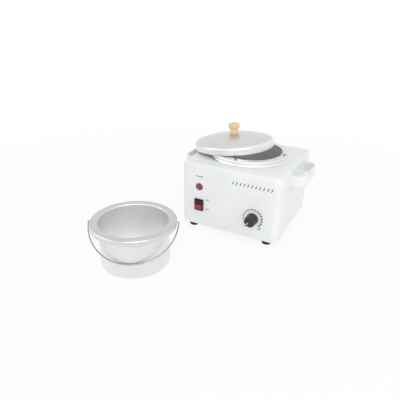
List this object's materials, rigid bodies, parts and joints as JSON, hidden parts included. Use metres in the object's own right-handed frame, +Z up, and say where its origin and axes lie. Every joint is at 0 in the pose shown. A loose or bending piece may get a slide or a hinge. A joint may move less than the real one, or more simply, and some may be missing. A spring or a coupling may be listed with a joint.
{
  "type": "wax warmer",
  "caption": "Square white wax heater with a round heating well, thermostat knob, rocker switch and pilot lamp, a loose flanged pot with a wire bail, and a lid with a wooden knob.",
  "frame": {"origin": "middle of the set's bounding box, on the table that the warmer and the pot stand on", "axes": "+Z up, the warmer's front panel faces -Y, +X to the right seen from the front"},
  "size_m": [0.388, 0.5496, 0.2489],
  "materials": {
    "white_paint": "satin powder coat",
    "base_steel": "satin powder coat",
    "rubber_black": "matte",
    "zinc_steel": "zinc plated",
    "steel_bright": "polished",
    "well_aluminium": "dark anodised",
    "polished_aluminium": "polished",
    "heater_mica": "dull",
    "fibre": "felted",
    "copper_tube": "bare",
    "phenolic": "moulded",
    "red_lens": "moulded, translucent",
    "red_rocker": "gloss",
    "black_plastic": "satin",
    "pointer_white": "matte",
    "block_white": "matte",
    "beech": "lacquered"
  },
  "bodies": {
    "warmer": {"housing_shell": "white_paint", "base_plate": "base_steel", "foot_front_left": "rubber_black", "foot_front_right": "rubber_black", "foot_rear_left": "rubber_black", "foot_rear_right": "rubber_black", "foot_screws": "zinc_steel", "base_plate_screws": "zinc_steel", "handle_left": "white_paint", "handle_right": "white_paint", "handle_screws": "zinc_steel", "heating_well": "well_aluminium", "well_collar": "polished_aluminium", "well_spacers": "zinc_steel", "well_screws": "steel_bright", "band_heater": "heater_mica", "heater_bolt": "zinc_steel", "insulation_sleeve": "fibre", "thermostat_bulb": "copper_tube", "bulb_clip": "zinc_steel", "thermostat_capillary": "copper_tube", "thermal_cutout": "phenolic", "pilot_lamp_lens": "red_lens", "pilot_lamp_body": "black_plastic", "pilot_lamp_nut": "zinc_steel", "switch_housing": "black_plastic", "thermostat_body": "phenolic", "thermostat_nut": "zinc_steel", "terminal_block": "block_white", "cord_gland": "black_plastic", "gland_nut": "black_plastic", "earth_stud": "zinc_steel"},
    "lid": {"lid_shell": "polished_aluminium", "lid_knob": "beech", "lid_washer": "zinc_steel", "lid_screw": "zinc_steel"},
    "pot": {"wax_pot": "polished_aluminium"},
    "bail": {"bail_wire": "steel_bright"},
    "rocker": {"switch_rocker": "red_rocker"},
    "knob": {"control_knob": "black_plastic", "knob_pointer": "pointer_white", "thermostat_shaft": "zinc_steel"}
  },
  "joints": [
    {"name": "lid_lift", "type": "slide", "parent": "warmer", "child": "lid", "axis": [0, 0, 1], "range_m": [0, 0.15]},
    {"name": "pot_lift", "type": "slide", "parent": "warmer", "child": "pot", "axis": [0, 0, 1], "range_m": [0, 0.25]},
    {"name": "bail_swing", "type": "hinge", "parent": "pot", "child": "bail", "pos_m": [-0.10103, -0.18183, 0.0985], "axis": [-0.8829, -0.4695, 0], "range_deg": [0, 252.5]},
    {"name": "rocker_tip", "type": "hinge", "parent": "warmer", "child": "rocker", "pos_m": [-0.04693, 0.01527, 0.069], "axis": [1, 0, 0], "range_deg": [0, 22]},
    {"name": "knob_turn", "type": "hinge", "parent": "warmer", "child": "knob", "pos_m": [0.09707, 0.01477, 0.066], "axis": [0, 1, 0], "range_deg": [0, 270]}
  ]
}
